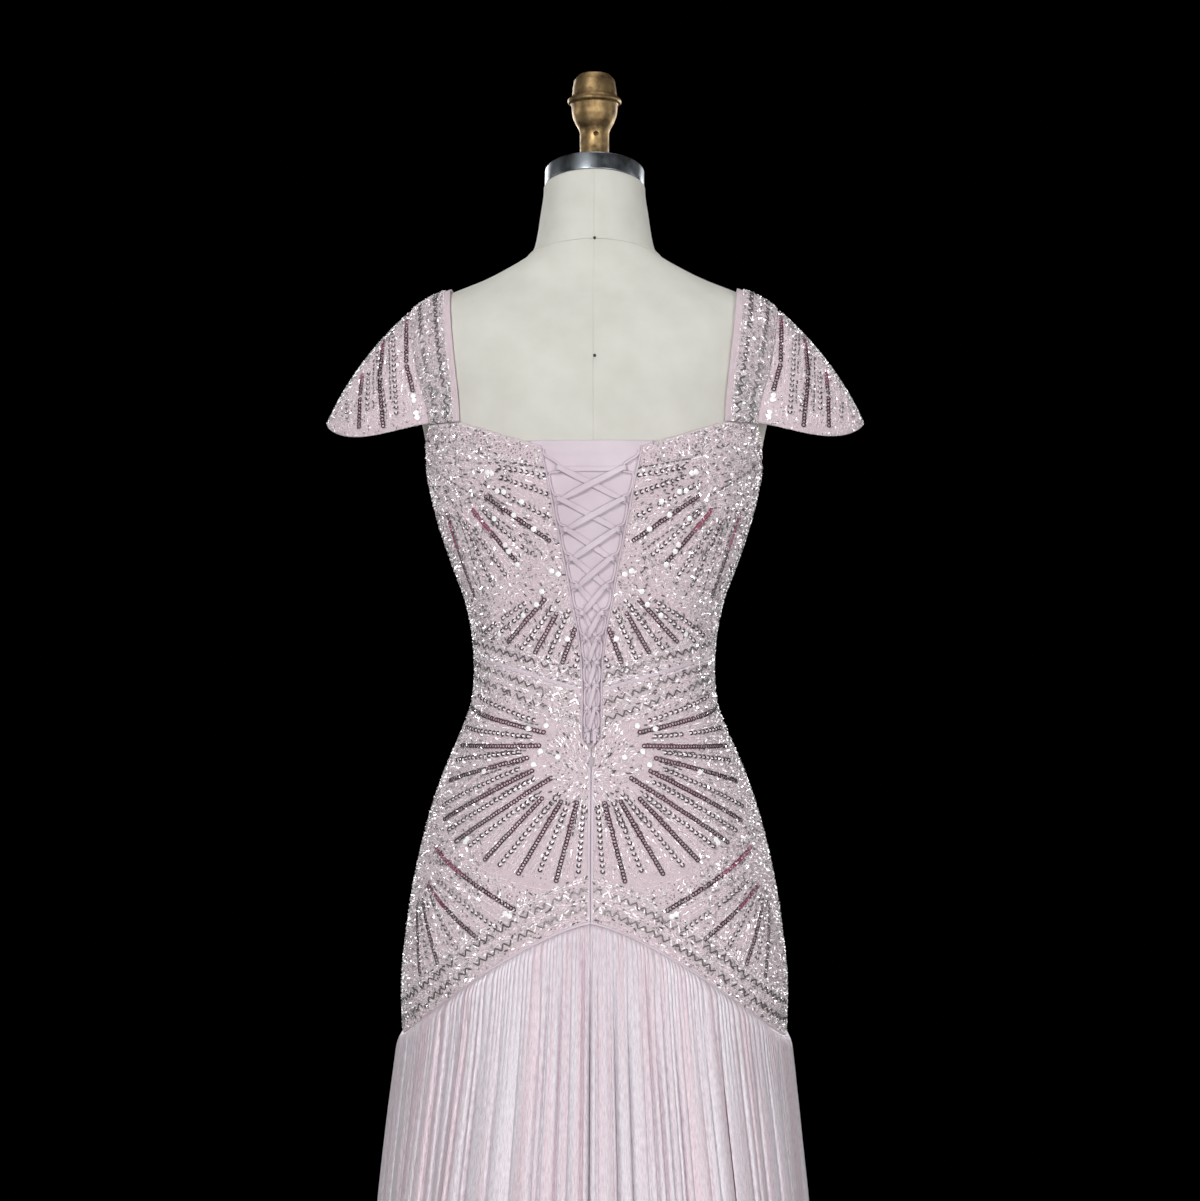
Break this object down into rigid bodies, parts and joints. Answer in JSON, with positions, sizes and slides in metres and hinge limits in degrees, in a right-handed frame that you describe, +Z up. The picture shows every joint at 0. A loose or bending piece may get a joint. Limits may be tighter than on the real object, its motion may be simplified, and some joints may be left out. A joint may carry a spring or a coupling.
{
  "type": "beaded evening gown on limbless dress form with stand",
  "caption": "Long fitted evening gown with cap sleeves, laced back and gathered skirt, standing on a limbless dress form with neck ring, finial, pole and round base.",
  "frame": {"origin": "on the floor, at the centre of the base's underside, under the pole", "axes": "+Z up; -Y out of the gown's front, +Y out of its laced back; +X towards the wearer's left"},
  "size_m": [0.5985, 0.5759, 1.635],
  "materials": {
    "form_linen": "plain-weave linen, matt",
    "neck_steel": "turned, satin",
    "finial_gold": "antique gold, worn",
    "stand_enamel": "satin",
    "beaded_cloth": "pale pink tulle over satin, sewn with sequins and beads",
    "satin": "satin",
    "skirt_lame": "fine pleated, pearly",
    "zip_tape": "woven tape",
    "slider_metal": "satin"
  },
  "bodies": {
    "root": {"form_torso": "form_linen", "form_neck_ring": "neck_steel", "form_finial": "finial_gold", "form_pole": "stand_enamel", "form_base": "stand_enamel", "bodice_front": "beaded_cloth", "bodice_back_left": "beaded_cloth", "bodice_back_right": "beaded_cloth", "yoke_front": "beaded_cloth", "yoke_back_left": "beaded_cloth", "yoke_back_right": "beaded_cloth", "modesty_panel": "satin", "zip_tape": "zip_tape", "zip_slider": "slider_metal", "loop_cord_left": "satin", "loop_cord_right": "satin", "lace": "satin", "strap_left": "beaded_cloth", "strap_right": "beaded_cloth", "sleeve_left": "beaded_cloth", "sleeve_right": "beaded_cloth", "skirt_gore_1": "skirt_lame", "skirt_gore_2": "skirt_lame", "skirt_gore_3": "skirt_lame", "skirt_gore_4": "skirt_lame", "skirt_gore_5": "skirt_lame", "skirt_gore_6": "skirt_lame", "skirt_gore_7": "skirt_lame", "skirt_gore_8": "skirt_lame"}
  },
  "joints": []
}
